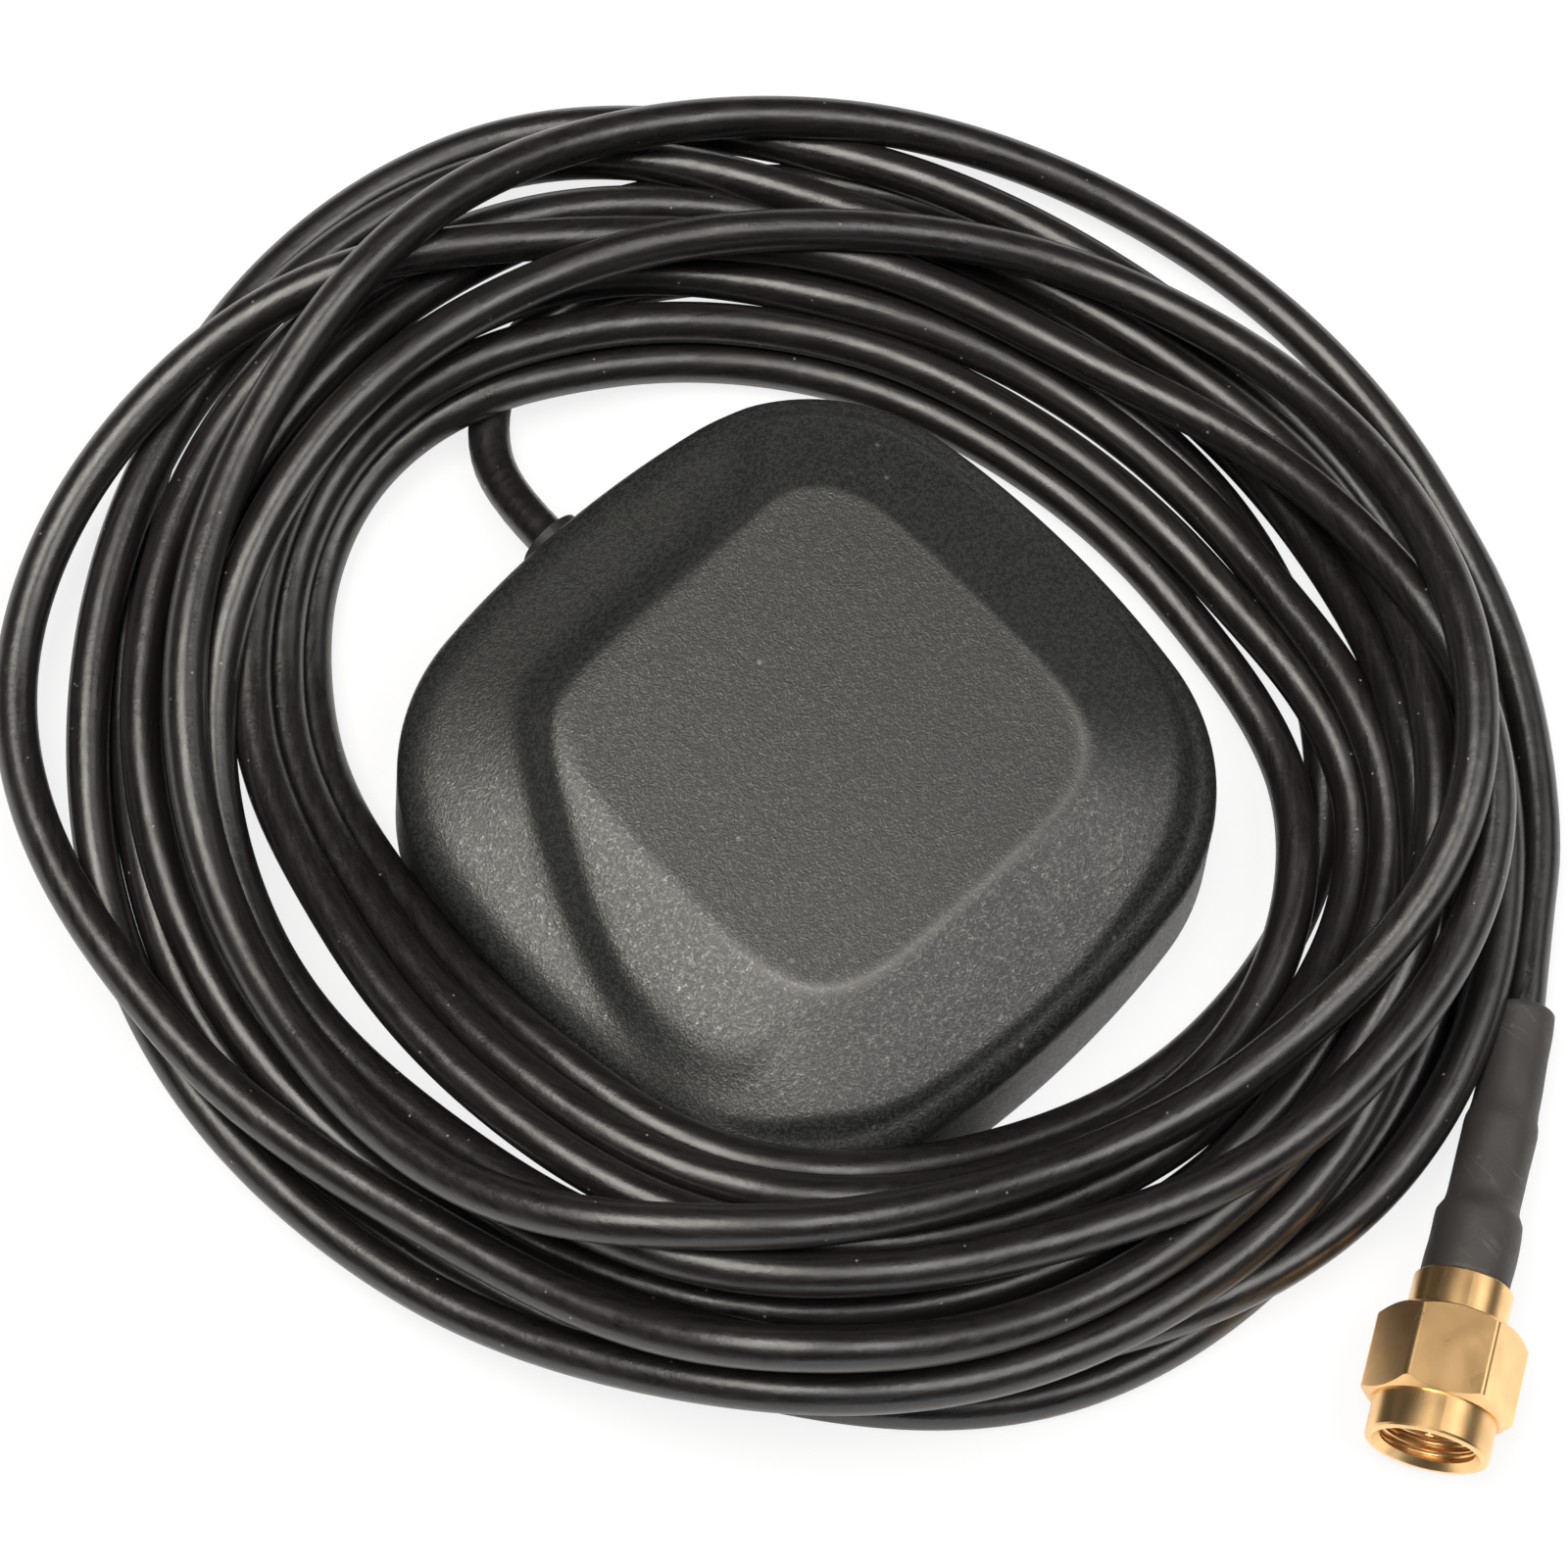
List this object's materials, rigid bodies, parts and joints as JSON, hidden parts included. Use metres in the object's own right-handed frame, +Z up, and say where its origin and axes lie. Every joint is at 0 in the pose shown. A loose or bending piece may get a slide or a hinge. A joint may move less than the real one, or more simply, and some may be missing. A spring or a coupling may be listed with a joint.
{
  "type": "gps antenna",
  "caption": "Square puck antenna with a raised top, a thin coax lead lying in loose turns round it, and a gold screw-on coax plug.",
  "frame": {"origin": "centre of the puck's underside, on the surface it stands on", "axes": "+Z up out of the puck's top, +Y towards the side where the lead leaves the puck"},
  "size_m": [0.0893, 0.1082, 0.0135],
  "materials": {
    "cover_plastic": "fine spark-eroded texture, satin",
    "pad_rubber": "matt",
    "tray_plastic": "satin",
    "screw_steel": "zinc plated",
    "magnet_plate": "nickel plated",
    "seal_rubber": "soft silicone",
    "board_green": "solder mask",
    "tape_white": "foam tape",
    "ceramic_beige": "fired ceramic",
    "silver_foil": "fired silver",
    "solder": "bright",
    "can_tin": "tin plated",
    "chip_black": "moulded",
    "filter_metal": "lidded",
    "capacitor_tan": "fired",
    "inductor_grey": "fired",
    "grommet_rubber": "matt",
    "cord_jacket": "semi-gloss",
    "braid_tin": "tinned braid",
    "insulation_white": "waxy",
    "wire_copper": "drawn",
    "gold_plate": "gold plated, turned",
    "ring_bronze": "spring bronze",
    "shrink_sleeve": "shrunk polyolefin"
  },
  "bodies": {
    "antenna": {"top_cover": "cover_plastic", "base_pad": "pad_rubber", "base_plate": "tray_plastic", "base_screws": "screw_steel", "base_magnets": "magnet_plate", "sealing_gasket": "seal_rubber", "circuit_board": "board_green", "patch_tape": "tape_white", "ceramic_patch": "ceramic_beige", "patch_electrode": "silver_foil", "feed_pin": "silver_foil", "feed_solder": "solder", "shield_can": "can_tin", "amplifier_chips": "chip_black", "signal_filter": "filter_metal", "chip_capacitors": "capacitor_tan", "chip_inductors": "inductor_grey", "cable_grommet": "grommet_rubber", "lead_jacket_end": "cord_jacket", "lead_braid_end": "braid_tin", "lead_insulation": "insulation_white", "lead_wire": "wire_copper", "lead_solder": "solder", "braid_clip": "can_tin", "connector_body": "gold_plate", "retaining_ring": "ring_bronze", "interface_gasket": "seal_rubber", "connector_insulator": "insulation_white", "centre_pin": "gold_plate", "crimp_ferrule": "gold_plate", "plug_braid_end": "braid_tin", "plug_insulation": "insulation_white", "plug_wire": "wire_copper", "plug_jacket_end": "cord_jacket", "heat_shrink_sleeve": "shrink_sleeve", "cord_coil": "cord_jacket", "cord_lead": "cord_jacket", "cord_tail": "cord_jacket"},
    "nut": {"coupling_nut": "gold_plate"}
  },
  "joints": [
    {"name": "nut_spin", "type": "hinge", "parent": "antenna", "child": "nut", "pos_m": [-0.00137, -0.05413, 0.00473], "axis": [0.863, 0.4963, -0.0941], "continuous": true}
  ]
}
